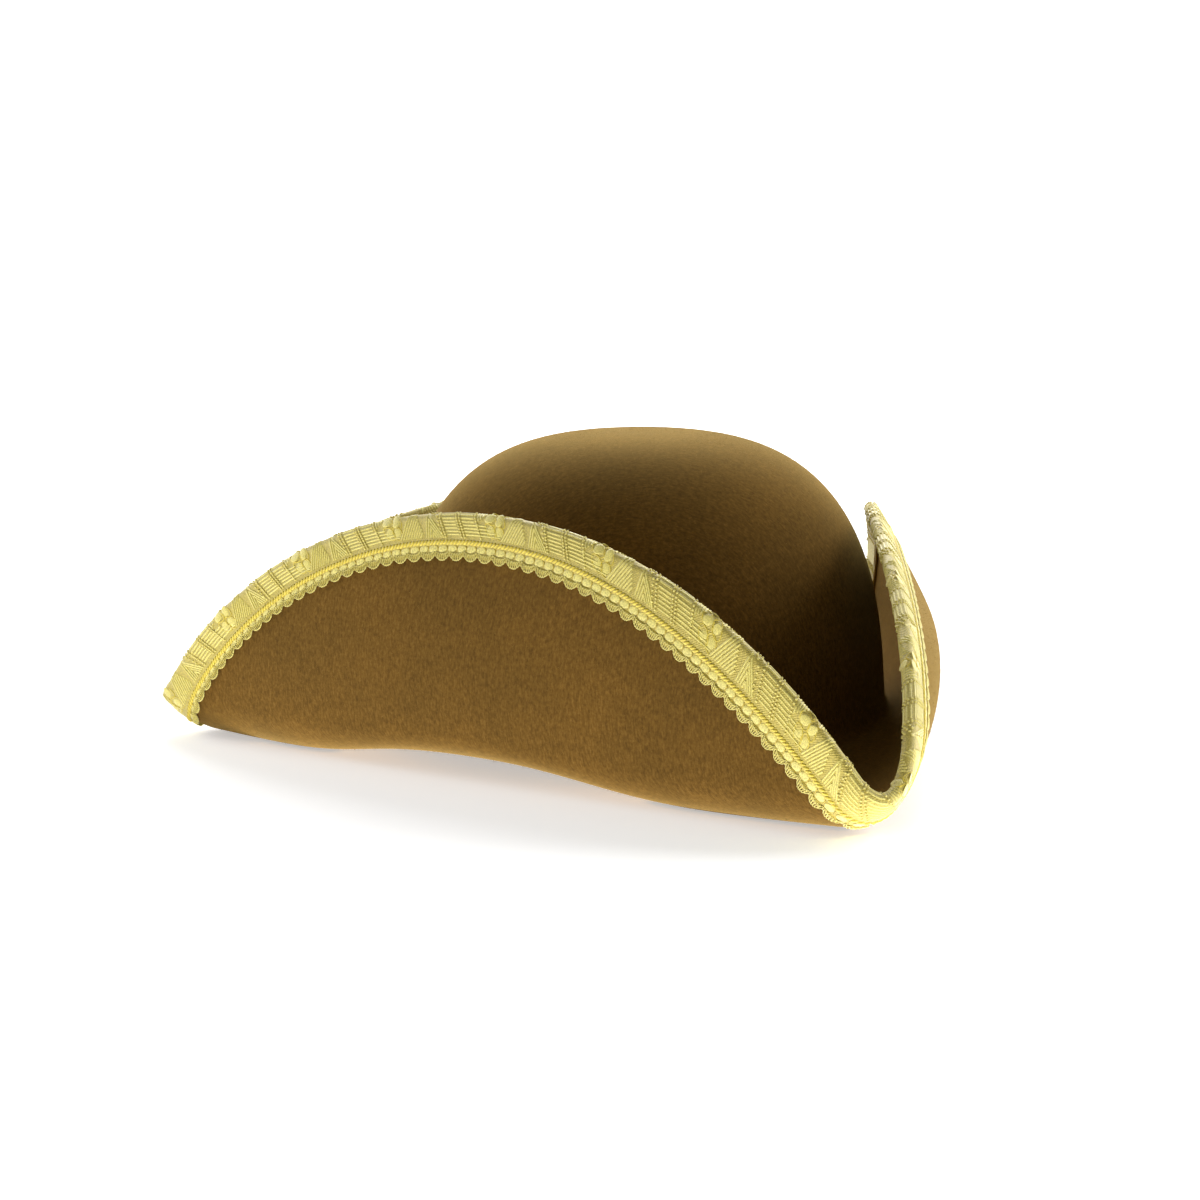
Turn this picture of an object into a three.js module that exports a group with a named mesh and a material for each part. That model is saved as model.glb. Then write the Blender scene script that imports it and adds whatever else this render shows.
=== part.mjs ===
// Tricorn hat: a blocked felt whose brim is turned up on three sides, its edge bound with a woven galloon.
// Millimetres, +Z up. The front corner points along -Y, the back flap stands across +Y,
// and +X is the side of the wearer's left ear.
import * as THREE from "three";

// Crown, measured over the felt
const CROWN_LENGTH = 205;
const CROWN_WIDTH = 174;
const CROWN_HEIGHT = 120;
const CROWN_SQUARENESS = 2.9; // 2 would be a half ellipse, more gives steeper walls and a flatter top
const CROWN_TAPER = 0.042; // share of its width that the crown loses from foot to top
const CROWN_FILLET = 6; // radius where the crown turns into the brim, at mid thickness

// Brim, measured from the crown's foot to the cut edge before it is folded up
const BRIM_FRONT = 100;
const BRIM_SIDE = 113;
const BRIM_BACK = 102;
const FELT_THICKNESS = 2.8;
const FOOT_RISE = 8; // the brim stands this much higher at the crown's foot
const FOOT_SPREAD = 22; // and sinks to its own level within about twice this distance
const CORNER_RISE = 3.3; // the three corners lift this much
const REST_DEPTH = 0.5; // how deep the felt is flattened where the hat rests

// Galloon: a ribbon folded over the brim's edge
const GALLOON_OUTSIDE = 17.5; // its width on the outside, from the edge
const GALLOON_INSIDE = 8; // its width on the inside
const GALLOON_THICKNESS = 0.8;
const GALLOON_CLEARANCE = 0.35;

// One row for each side that is turned up. Lengths are shares, of the crown's reach towards that side
// for start, and of the brim's width there for the bends and the bow.
//   facing      direction of the side, in degrees from +X
//   start       where the fold begins
//   bendMiddle  bend radius at the middle of the side
//   bendEnds    bend radius at the corners
//   turnMiddle  degrees that the bend turns at the middle
//   turnEnds    degrees that the bend turns at the corners
//   curl        degrees that the flap turns on over a whole brim's width above the bend
//   bow         how far the fold line comes in at its ends
const FOLDS = [
  {
    facing: -32.5, start: 0.975, curl: 27, bow: 0.041,
    bendMiddle: 0.155, bendEnds: 0.173, turnMiddle: 83, turnEnds: 87,
  },
  {
    facing: 90, start: 0.823, curl: 24, bow: 0.094,
    bendMiddle: 0.377, bendEnds: 0.215, turnMiddle: 114.5, turnEnds: 90,
  },
  {
    facing: 212.5, start: 1.163, curl: 27, bow: 0.041,
    bendMiddle: 0.155, bendEnds: 0.173, turnMiddle: 83, turnEnds: 87,
  },
];

// How finely the surfaces are divided
const COLUMNS = 90;
const CORNER_CROWDING = 0.55; // 0 spaces the columns evenly, near 1 puts most of them at the corners
const CROWN_STEPS = 10;
const FILLET_STEPS = 2;
const BRIM_STEPS = 9;
const BRIM_CROWDING = 1.3; // above 1 puts more rows near the crown, where the folds begin
const EDGE_ANGLES = [30, -30]; // corners of the rounded edge between its two faces, in degrees

const { atan2, cos, hypot, max, min, PI, sin } = Math;
const radians = THREE.MathUtils.degToRad;
const HALF_FELT = FELT_THICKNESS / 2;

// The outlines of the middle of the felt, in the flat: crown foot and brim edge
const crown = {
  halfWidth: CROWN_WIDTH / 2 - HALF_FELT,
  halfLength: CROWN_LENGTH / 2 - HALF_FELT,
  height: CROWN_HEIGHT - HALF_FELT,
};
const brim = {
  halfWidth: CROWN_WIDTH / 2 + BRIM_SIDE - HALF_FELT,
  frontLength: CROWN_LENGTH / 2 + BRIM_FRONT - HALF_FELT,
  backLength: CROWN_LENGTH / 2 + BRIM_BACK - HALF_FELT,
};

function crownFoot(theta) {
  return new THREE.Vector2(crown.halfWidth * cos(theta), crown.halfLength * sin(theta));
}

function brimEdge(theta) {
  const length = sin(theta) < 0 ? brim.frontLength : brim.backLength;
  return new THREE.Vector2(brim.halfWidth * cos(theta), length * sin(theta));
}

// How far an ellipse reaches in a direction
function reach(halfWidth, halfLength, direction) {
  return hypot(halfWidth * cos(direction), halfLength * sin(direction));
}

function crownReach(direction) {
  return reach(crown.halfWidth, crown.halfLength, direction);
}

function brimReach(direction) {
  return reach(brim.halfWidth, sin(direction) < 0 ? brim.frontLength : brim.backLength, direction);
}

function unit(direction) {
  return new THREE.Vector2(cos(direction), sin(direction));
}

// The folds with their real sizes
const folds = FOLDS.map((row) => {
  const direction = radians(row.facing);
  const width = brimReach(direction) - crownReach(direction);
  const start = row.start * crownReach(direction);
  return {
    across: unit(direction),
    along: unit(direction + PI / 2),
    start,
    halfLength: Math.sqrt(brimReach(direction) ** 2 - start ** 2),
    bendMiddle: row.bendMiddle * width,
    bendEnds: row.bendEnds * width,
    turnMiddle: radians(row.turnMiddle),
    turnEnds: radians(row.turnEnds),
    curl: radians(row.curl) / width,
    bow: row.bow * width,
  };
});

// The corners lie midway between two folds
const corners = FOLDS.map((row, i) => {
  const next = FOLDS[(i + 1) % FOLDS.length].facing + (i + 1 === FOLDS.length ? 360 : 0);
  return radians((row.facing + next) / 2);
});

// Bends the brim up along one fold line: the move of one point of the flat brim
function foldMove(fold, flat) {
  const along = flat.dot(fold.along);
  const share = min(Math.abs(along) / fold.halfLength, 1.1) ** 2;
  const slope = (2 * fold.bow * along) / fold.halfLength ** 2;
  const square = fold.across.clone().addScaledVector(fold.along, slope);
  const past = max(flat.dot(fold.across) - fold.start + fold.bow * share, 0) / square.length();
  square.normalize();
  const radius = fold.bendMiddle + (fold.bendEnds - fold.bendMiddle) * min(share, 1);
  const turn = fold.turnMiddle + (fold.turnEnds - fold.turnMiddle) * share;
  const bent = min(past, radius * turn);
  const straight = past - bent;
  const curled = (fold.curl * straight ** 2) / 2;
  const out = radius * sin(bent / radius) + straight * cos(turn) - curled * sin(turn);
  const up = radius * (1 - cos(bent / radius)) + straight * sin(turn) + curled * cos(turn);
  return new THREE.Vector3(square.x * (out - past), square.y * (out - past), up);
}

// Lifts a corner towards its tip
function cornerLift(direction, flat) {
  const from = crownReach(direction);
  const share = (flat.dot(unit(direction)) - from) / (brimReach(direction) - from);
  return CORNER_RISE * max(share, 0) ** 2;
}

// The move of one point of the flat brim, at a distance from the crown's foot
function brimMove(flat, distance) {
  const move = new THREE.Vector3(0, 0, HALF_FELT + FOOT_RISE * Math.exp(-((distance / FOOT_SPREAD) ** 2)));
  folds.forEach((fold) => move.add(foldMove(fold, flat)));
  corners.forEach((corner) => {
    move.z += cornerLift(corner, flat);
  });
  return move;
}

function brimWidth(theta) {
  return brimEdge(theta).distanceTo(crownFoot(theta));
}

// The middle of the felt. station runs 0 to 1 from the crown's top to the fillet, 1 to 2 round the fillet,
// and 2 to 3 over the brim to its edge.
const FILLET_SHARE = (2 / PI) * Math.asin((CROWN_FILLET / crown.height) ** (CROWN_SQUARENESS / 2));

function crownPoint(theta, station) {
  const climb = (1 - station * (1 - FILLET_SHARE)) * (PI / 2);
  const height = crown.height * sin(climb) ** (2 / CROWN_SQUARENESS);
  const width = cos(climb) ** (2 / CROWN_SQUARENESS) * (1 - (CROWN_TAPER * height) / crown.height);
  const foot = crownFoot(theta);
  const follow = (crown.height - height) / (crown.height - CROWN_FILLET);
  const move = brimMove(foot, 0);
  const top = HALF_FELT + FOOT_RISE;
  return new THREE.Vector3(
    foot.x * width + move.x * follow,
    foot.y * width + move.y * follow,
    top + height + (move.z - top) * follow,
  );
}

function brimPoint(theta, distance, height) {
  const foot = crownFoot(theta);
  const outward = brimEdge(theta).sub(foot).normalize();
  const flat = foot.clone().addScaledVector(outward, distance);
  return new THREE.Vector3(flat.x, flat.y, height).add(brimMove(flat, distance));
}

function sheetPoint(theta, station) {
  if (station < 1) return crownPoint(theta, station);
  if (station < 2) {
    const angle = ((station - 1) * PI) / 2;
    return brimPoint(theta, CROWN_FILLET * (1 - cos(angle)), CROWN_FILLET * (1 - sin(angle)));
  }
  return brimPoint(theta, CROWN_FILLET + (station - 2) * (brimWidth(theta) - CROWN_FILLET), 0);
}

// Directions at a point of the sheet: outward towards the edge, and square to the sheet
function sheetFrame(theta, station) {
  const step = 1e-3;
  const point = sheetPoint(theta, station);
  const out = sheetPoint(theta, station + step).sub(sheetPoint(theta, station - step)).normalize();
  const round = sheetPoint(theta + step, station).sub(sheetPoint(theta - step, station));
  return { point, out, normal: out.clone().cross(round).normalize() };
}

// Station of the row that lies a distance in from the brim's edge
function stationFromEdge(theta, distance) {
  return 3 - distance / (brimWidth(theta) - CROWN_FILLET);
}

// Column angles, crowded at the corners, where the brim bends most
const columns = Array.from({ length: COLUMNS }, (_, i) => {
  const even = (i / COLUMNS) * 2 * PI;
  return even + (CORNER_CROWDING / 3) * sin(3 * (even - PI / 2));
});

// Whether the nearest fold line runs outward as the angle grows
function foldClimbs(theta) {
  const edge = brimEdge(theta);
  const turns = FOLDS.map((row) => {
    const turn = atan2(edge.y, edge.x) - radians(row.facing);
    return atan2(sin(turn), cos(turn));
  });
  return turns.reduce((a, b) => (Math.abs(a) < Math.abs(b) ? a : b)) > 0;
}

// One ring of points round the hat, at a station and a height over the middle of the felt
function ring(stationAt, height) {
  const points = columns.map((theta) => {
    const { point, normal } = sheetFrame(theta, stationAt(theta));
    return point.addScaledVector(normal, height);
  });
  return { points, station: stationAt(columns[0]) };
}

// One ring of points beyond the edge, at an angle and a distance from the edge's middle
function edgeRing(degrees, distance) {
  const angle = radians(degrees);
  const points = columns.map((theta) => {
    const { point, out, normal } = sheetFrame(theta, 3);
    return point.addScaledVector(out, distance * cos(angle)).addScaledVector(normal, distance * sin(angle));
  });
  return { points, station: 3 };
}

// Stations of the felt's rows, from near the crown's top to the edge
function feltStations() {
  const rows = [];
  for (let i = 1; i <= CROWN_STEPS; i += 1) rows.push(() => i / CROWN_STEPS);
  for (let i = 1; i <= FILLET_STEPS; i += 1) rows.push(() => 1 + i / FILLET_STEPS);
  for (let i = 1; i <= BRIM_STEPS; i += 1) {
    const share = (i / BRIM_STEPS) ** BRIM_CROWDING;
    rows.push((theta) => 2 + share * (stationFromEdge(theta, GALLOON_OUTSIDE) - 2));
  }
  rows.push((theta) => stationFromEdge(theta, GALLOON_INSIDE));
  rows.push(() => 3);
  return rows;
}

// The two triangles between column i and the next one, from one ring's first index to another's.
// They are cut along the fold, so that a bend stays smooth and sheets that lie on each other stay clear.
function quad(near, far, i, rising) {
  const j = (i + 1) % COLUMNS;
  if (rising) return [near + i, far + i, far + j, near + i, far + j, near + j];
  return [near + i, far + i, near + j, far + i, far + j, near + j];
}

// A closed surface through rings. With poles, each end is closed by a fan round its pole, and the faces
// look up on the way out. Without, the last ring joins the first, and the first faces look down.
function loft(rings, poles) {
  const faces = [];
  const bands = poles ? rings.length - 1 : rings.length;
  for (let k = 0; k < bands; k += 1) {
    const next = (k + 1) % rings.length;
    const outward = rings[next].station > rings[k].station;
    for (let i = 0; i < COLUMNS; i += 1) {
      const climbs = foldClimbs((columns[i] + (columns[i + 1] ?? columns[0] + 2 * PI)) / 2);
      const pair = quad(k * COLUMNS, next * COLUMNS, i, climbs === outward);
      faces.push(...(poles ? pair : pair.reverse()));
    }
  }
  const points = rings.flatMap((each) => each.points);
  if (poles) {
    const last = (rings.length - 1) * COLUMNS;
    points.push(...poles);
    for (let i = 0; i < COLUMNS; i += 1) {
      const j = (i + 1) % COLUMNS;
      faces.push(points.length - 2, i, j);
      faces.push(points.length - 1, last + j, last + i);
    }
  }
  const geometry = new THREE.BufferGeometry().setFromPoints(points);
  geometry.setIndex(faces);
  geometry.computeVertexNormals();
  return geometry;
}

// Felt body: its outer face from the crown's top to the edge, round the edge, and back underneath
function feltBody() {
  const stations = feltStations();
  const over = stations.map((at) => ring(at, HALF_FELT));
  const edge = EDGE_ANGLES.map((degrees) => edgeRing(degrees, HALF_FELT));
  const under = stations.map((at) => ring(at, -HALF_FELT)).reverse();
  const underside = under.flatMap((each) => each.points);
  const restLevel = min(...underside.map((point) => point.z)) + REST_DEPTH;
  underside.forEach((point) => {
    point.z = max(point.z, restLevel);
  });
  const top = HALF_FELT + FOOT_RISE + crown.height;
  const poles = [new THREE.Vector3(0, 0, top + HALF_FELT), new THREE.Vector3(0, 0, top - HALF_FELT)];
  return { geometry: loft([...over, ...edge, ...under], poles), restLevel };
}

// Galloon: its face against the felt from the inside to the outside, and back over its own outer face
function galloon() {
  const inner = HALF_FELT + GALLOON_CLEARANCE;
  const outer = inner + GALLOON_THICKNESS;
  const face = (height) => [
    ...[GALLOON_INSIDE, 0].map((distance) => ring((theta) => stationFromEdge(theta, distance), height)),
    ...EDGE_ANGLES.map((degrees) => edgeRing(degrees, height)),
    ...[0, GALLOON_INSIDE, GALLOON_OUTSIDE].map((distance) =>
      ring((theta) => stationFromEdge(theta, distance), -height),
    ),
  ];
  return loft([...face(inner), ...face(outer).reverse()]);
}

const feltMaterial = new THREE.MeshStandardMaterial({ color: 0x6b4e24, roughness: 0.95, metalness: 0 });
const galloonMaterial = new THREE.MeshStandardMaterial({ color: 0xc9b458, roughness: 0.55, metalness: 0.1 });

function named(name, geometry, material) {
  const mesh = new THREE.Mesh(geometry, material);
  mesh.name = name;
  return mesh;
}

const felt = feltBody();
const tricorn = new THREE.Group();
tricorn.add(named("felt_body", felt.geometry, feltMaterial));
tricorn.add(named("edge_galloon", galloon(), galloonMaterial));

// The origin is the middle of the hat's outline, on the surface that it rests on
const box = new THREE.Box3().setFromObject(tricorn, true);
const middle = box.getCenter(new THREE.Vector3());
tricorn.position.set(-middle.x, -middle.y, -felt.restLevel);

export default tricorn;
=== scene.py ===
# Looks for the tricorn hat: brown wool felt with a gold woven galloon bound over the brim's edge.
# Metres, +Z up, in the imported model's frame. The hat is shaped here by the same rules as its CAD model.
from math import pi, radians

import bpy
import numpy as np
from mathutils import Matrix, Vector


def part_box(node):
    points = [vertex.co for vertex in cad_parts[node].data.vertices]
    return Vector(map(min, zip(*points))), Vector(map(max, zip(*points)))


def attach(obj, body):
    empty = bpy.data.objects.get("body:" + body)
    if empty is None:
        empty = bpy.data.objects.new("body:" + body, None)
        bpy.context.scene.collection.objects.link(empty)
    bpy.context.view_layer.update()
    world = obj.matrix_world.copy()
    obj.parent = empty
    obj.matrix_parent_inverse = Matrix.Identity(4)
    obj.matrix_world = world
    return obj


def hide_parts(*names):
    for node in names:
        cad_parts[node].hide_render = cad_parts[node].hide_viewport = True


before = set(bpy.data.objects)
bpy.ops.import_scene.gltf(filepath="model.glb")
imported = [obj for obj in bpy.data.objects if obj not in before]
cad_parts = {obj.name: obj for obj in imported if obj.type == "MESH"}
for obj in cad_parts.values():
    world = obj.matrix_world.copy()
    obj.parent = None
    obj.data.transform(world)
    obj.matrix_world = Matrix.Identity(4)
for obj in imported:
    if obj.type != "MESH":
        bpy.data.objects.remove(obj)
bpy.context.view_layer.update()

MM = 0.001

# Crown, measured over the felt
CROWN_LENGTH = 205 * MM
CROWN_WIDTH = 174 * MM
CROWN_HEIGHT = 120 * MM
CROWN_SQUARENESS = 2.9
CROWN_TAPER = 0.042
CROWN_FILLET = 6 * MM

# Brim, measured from the crown's foot to the cut edge before it is folded up
BRIM_FRONT = 100 * MM
BRIM_SIDE = 113 * MM
BRIM_BACK = 102 * MM
FELT_THICKNESS = 2.8 * MM
FOOT_RISE = 8 * MM
FOOT_SPREAD = 22 * MM
CORNER_RISE = 3.3 * MM
REST_DEPTH = 0.5 * MM

# Galloon. Its rows are measured over its own surface from the middle of the brim's edge, outwards.
GALLOON_CLEARANCE = 0.35 * MM
GALLOON_THICKNESS = 0.8 * MM
TURN_IN = 11.4 * MM
CORD_ROW = 12.5 * MM
BOBBLE_ROW = 15.5 * MM
LACE_EDGE = 19.3 * MM
FAN_ROW = 18.6 * MM
PICOT_ROW = 19.5 * MM
LACE_END = 21.2 * MM

# One row for each side that is turned up. Lengths are shares, of the crown's reach towards that side
# for start, and of the brim's width there for the bends and the bow.
#   facing       direction of the side, in degrees from +X
#   start        where the fold begins
#   curl         degrees that the flap turns on over a whole brim's width above the bend
#   bow          how far the fold line comes in at its ends
#   bend_middle  bend radius at the middle of the side
#   bend_ends    bend radius at the corners
#   turn_middle  degrees that the bend turns at the middle
#   turn_ends    degrees that the bend turns at the corners
FOLDS = [
    dict(facing=-32.5, start=0.975, curl=27, bow=0.041,
         bend_middle=0.155, bend_ends=0.173, turn_middle=83, turn_ends=87),
    dict(facing=90, start=0.823, curl=24, bow=0.094,
         bend_middle=0.377, bend_ends=0.215, turn_middle=114.5, turn_ends=90),
    dict(facing=212.5, start=1.163, curl=27, bow=0.041,
         bend_middle=0.155, bend_ends=0.173, turn_middle=83, turn_ends=87),
]

# How finely the felt is divided. Its columns crowd towards the corners, and its rounded edge has a ring
# of points at each of EDGE_TURNS degrees.
CORNER_CROWDING = 0.55
FELT_COLUMNS = 300
CROWN_ROWS = 56
FILLET_ROWS = 6
BRIM_ROWS = 78
EDGE_TURNS = (60, 30, 0, -30, -60)
FRAME_STEP = 1e-3

# Loose fibres of the felt. They keep clear of the galloon's two edges and of the table.
FUZZ_CLEARANCE = 2 * MM
FUZZ_GAP_INSIDE = 1 * MM
FUZZ_GAP_OUTSIDE = 2 * MM
FUZZ_SEED = 7
FUZZ_PER_SQUARE_METRE = 140000
FIBRE_RADIUS = 0.03 * MM
FIBRE_LENGTH = 1.6 * MM
FIBRE_SHORTEST = 0.4
FIBRE_LONGEST = 1.3

# The galloon's sheet, its gathers at the hat's corners, and how much its border sinks
EDGE_SAMPLES = 6000
EASE_STEPS = 720
EASE_WINDOW = 61
RIBBON_COLUMNS = 1400
RIBBON_ROWS = 46
GATHER_PITCH = 2.6 * MM
GATHER_HEIGHT = 0.5 * MM
GATHER_REACH = 34 * MM
GATHER_START = 1.5 * MM
GATHER_EASE = 1.2 * MM
GATHER_DRIFT = 1.1
GATHER_DRIFT_PITCH = 9.7 * MM
BORDER_SINK = 0.35 * MM
BORDER_SINK_WIDTH = 2 * MM

# The galloon sits a little further out or in over the edge from place to place, and its border is seen at a
# changing slope. side is the share of the way round the hat from the left back corner, shift is how far the
# border sits out in millimetres, and lace is the share of the border's full width that it takes up there.
SHIFTS = [
    dict(side=0.0, shift=0.8, lace=0.9),
    dict(side=0.16, shift=-0.3, lace=0.9),
    dict(side=0.33, shift=0.8, lace=0.9),
    dict(side=0.42, shift=1.6, lace=0.88),
    dict(side=0.5, shift=-1.2, lace=0.76),
    dict(side=0.58, shift=-3.0, lace=0.62),
    dict(side=0.64, shift=-1.8, lace=0.46),
    dict(side=0.69, shift=-2.8, lace=0.46),
    dict(side=0.75, shift=-3.2, lace=0.6),
    dict(side=0.8, shift=-3.2, lace=0.74),
    dict(side=0.86, shift=-2.0, lace=0.84),
    dict(side=0.92, shift=1.4, lace=0.88),
    dict(side=0.95, shift=2.2, lace=0.9),
    dict(side=1.0, shift=0.8, lace=0.9),
]

# The woven figure, one repeat of it, in millimetres along and across the galloon. Windows of fine ribs with
# beaded bars take turns with barbs, a flower of petals, slanting threads, chevrons and a ladder of beads.
# LEFT_SIDE_WINDOWS says where the windows lie along the left side, and the rest are spread evenly.
LEFT_SIDE_WINDOWS = (923, 973, 1022, 1072, 1123, 1177.5, 1232, 1281)
OTHER_REPEATS = 16
FIGURE_LEAN = 0.55
FIGURE_TOP = -10.6
FIGURE_FOOT = 10.6
THREAD_PITCH = 1.3
WINDOW = dict(half=8.8, rib_pitch=1.25, bar_gap=1.1, middle_gap=1.6, middle_bars=0.75, bead_pitch=1.05,
              flare_start=5, flare_first=4.5, flare=1.6, points=9)
BARBS = dict(count=6, gap=1.2, top=-4.5, length=8.6, shorter=0.9, hook=2.4, points=6)
PETALS = [
    dict(along=14.8, across=7.2, turn=60),
    dict(along=16.0, across=2.6, turn=15),
    dict(along=18.9, across=7.6, turn=110),
    dict(along=20.6, across=3.0, turn=80),
    dict(along=18.4, across=-1.4, turn=100),
]
PETAL_LENGTH = 2.6
PETAL_WIDTH = 2.0
PETAL_HEIGHT = 0.28
PETAL_SINK = 0.12
PETAL_OUTLINE_GAP = 0.35
PETAL_OUTLINE_POINTS = 13
LONG_SLANTS = dict(count=9, foot=19.2, top=-2.4, top_pitch=1.35, slope=0.95, points=9)
TOP_SLANTS = dict(count=19, foot=15.0, start=-2.6, dip=0.1, middle=9, back=3.0, points=7)
SHORT_SLANTS = dict(count=6, foot=23.0, start=1.0, step=0.5, ahead=0.8, top=-2.2, points=3)
CHEVRONS = dict(count=4, middle=37.4, tip=0.9, pitch=2.5, spread=0.46, points=6)
LADDER = dict(rows=3, count=8, along=39.0, row_pitch=1.25, start=0.8, pitch=1.45, stagger=0.7)
LADDER_FOOT = dict(count=5, along=41.6, start=2.4, pitch=1.6)

# Threads laid for the figure. sunk is how deep a thread's middle lies in the ribbon's face, in millimetres.
RIB_THREADS = dict(sunk=0.2, radius=0.48, sides=6)
FIGURE_THREADS = dict(sunk=0.12, radius=0.5, sides=6)
OUTLINE_THREADS = dict(sunk=-0.02, radius=0.24, sides=4)
BAR_BEAD_LIFT = 0.12 * MM
BAR_BEAD_SIZE = (0.5 * MM, 0.56 * MM, 0.5 * MM)

# The border: rows of one shape that is repeated all round. across is the row's place over the galloon,
# lift is its height over the ribbon's inner face, lean is in radians, ahead is how far along the row starts,
# and size holds half sizes along, across and square to the ribbon.
STITCHES = dict(count=700, across=CORD_ROW, lift=GALLOON_THICKNESS, lean=0.75, ahead=0,
                size=(1.5 * MM, 0.62 * MM, 0.58 * MM), segments=8, rings=6)
BOBBLES = dict(count=246, across=BOBBLE_ROW, lift=0.5 * MM, lean=0.25, ahead=0,
               size=(2.35 * MM, 1.95 * MM, 0.3 * MM), segments=12, rings=6)
SLITS = dict(count=246, across=BOBBLE_ROW, lift=0.5 * MM, lean=0.25, ahead=2.4 * MM,
             size=(0.3 * MM, 1.9 * MM, 0.3 * MM), segments=6, rings=4)
FANS = dict(count=164, across=FAN_ROW, lift=0.35 * MM, lean=0, ahead=0,
            size=(3.3 * MM, 1.5 * MM, 0.3 * MM), segments=12, rings=5)
LOOPS_IN_FAN = 6
LOOP_PITCH = 1.04 * MM
LOOP_SET_BACK = 0.9 * MM
LOOP_LEAN = -0.16
LOOP_LIFT = 0.8 * MM
LOOP_SIZE = (0.5 * MM, 1.45 * MM, 1 * MM)
LOOP_THREAD = 0.25 * MM

# Colours
FELT_DARK = (0.058, 0.027, 0.0055)
FELT_MIDDLE = (0.12, 0.061, 0.0115)
FELT_LIGHT = (0.215, 0.112, 0.025)
FELT_SHEEN = (0.86, 0.62, 0.2)
GROUND_GOLD = (0.56, 0.45, 0.08)
THREAD_GOLD = (0.76, 0.66, 0.17)
CORD_YELLOW = (0.74, 0.59, 0.06)
SATIN_GOLD = (0.77, 0.68, 0.2)
FAN_GOLD = (0.6, 0.46, 0.06)
SWEEP_WHITE = (0.85, 0.85, 0.85)

# Camera, at the photograph's angle. The focal length and the shifts are in pixels of a frame 1200 wide.
CAMERA_AZIMUTH = radians(91.783)
CAMERA_ELEVATION = radians(10.552)
CAMERA_ROLL = radians(-0.417)
CAMERA_DISTANCE = 1207.1 * MM
LOOK_AT_HEIGHT = 50 * MM
FRAME_PIXELS = 1200
FOCAL_PIXELS = 2908.3
SHIFT_RIGHT = 39.36
SHIFT_UP = 21.0
SENSOR_WIDTH = 36

# The white sweep, a floor that curves up into a wall behind the hat, and the lights
SWEEP_HALF_WIDTH = 7
SWEEP_FRONT = 7
SWEEP_BACK = 1.3
SWEEP_RADIUS = 0.6
SWEEP_TOP = 2.6
SWEEP_GLOW = 0.46
WORLD_GLOW = 0.19
LIGHTS = [
    dict(name="back_light", spot=(-1.4, 0.05, 1.35), aim=(0, 0, 0.05), size=(1.6, 1.6), power=39),
    dict(name="left_light", spot=(-0.5, -1.5, 0.8), aim=(0, 0, 0.05), size=(1.2, 1.2), power=17),
    dict(name="right_light", spot=(-0.5, 1.5, 0.8), aim=(0, 0, 0.05), size=(1.2, 1.2), power=25),
    dict(name="table_glow", spot=(0.15, -0.05, 0.0015), aim=(0.15, -0.05, 1), size=(0.28, 0.56), power=0.62),
]

HALF_FELT = FELT_THICKNESS / 2
CROWN_HALF_WIDTH = CROWN_WIDTH / 2 - HALF_FELT
CROWN_HALF_LENGTH = CROWN_LENGTH / 2 - HALF_FELT
CROWN_TOP = CROWN_HEIGHT - HALF_FELT
BRIM_HALF_WIDTH = CROWN_WIDTH / 2 + BRIM_SIDE - HALF_FELT
BRIM_FRONT_LENGTH = CROWN_LENGTH / 2 + BRIM_FRONT - HALF_FELT
BRIM_BACK_LENGTH = CROWN_LENGTH / 2 + BRIM_BACK - HALF_FELT
FILLET_SHARE = (2 / pi) * np.arcsin((CROWN_FILLET / CROWN_TOP) ** (CROWN_SQUARENESS / 2))


# The hat's sheet, as in the CAD model. Angles and stations are arrays of one shape.
def crown_foot(theta):
    return np.stack([CROWN_HALF_WIDTH * np.cos(theta), CROWN_HALF_LENGTH * np.sin(theta)], axis=-1)


def brim_edge(theta):
    length = np.where(np.sin(theta) < 0, BRIM_FRONT_LENGTH, BRIM_BACK_LENGTH)
    return np.stack([BRIM_HALF_WIDTH * np.cos(theta), length * np.sin(theta)], axis=-1)


def crown_reach(direction):
    return np.hypot(CROWN_HALF_WIDTH * np.cos(direction), CROWN_HALF_LENGTH * np.sin(direction))


def brim_reach(direction):
    length = BRIM_FRONT_LENGTH if np.sin(direction) < 0 else BRIM_BACK_LENGTH
    return np.hypot(BRIM_HALF_WIDTH * np.cos(direction), length * np.sin(direction))


def unit(direction):
    return np.array([np.cos(direction), np.sin(direction)])


def real_fold(row):
    direction = radians(row["facing"])
    width = brim_reach(direction) - crown_reach(direction)
    start = row["start"] * crown_reach(direction)
    return dict(
        across=unit(direction),
        along=unit(direction + pi / 2),
        start=start,
        half_length=np.sqrt(brim_reach(direction) ** 2 - start ** 2),
        bend_middle=row["bend_middle"] * width,
        bend_ends=row["bend_ends"] * width,
        turn_middle=radians(row["turn_middle"]),
        turn_ends=radians(row["turn_ends"]),
        curl=radians(row["curl"]) / width,
        bow=row["bow"] * width,
    )


folds = [real_fold(row) for row in FOLDS]
facings = [row["facing"] for row in FOLDS]
corners = [radians((a + b) / 2) for a, b in zip(facings, facings[1:] + [facings[0] + 360])]


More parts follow.
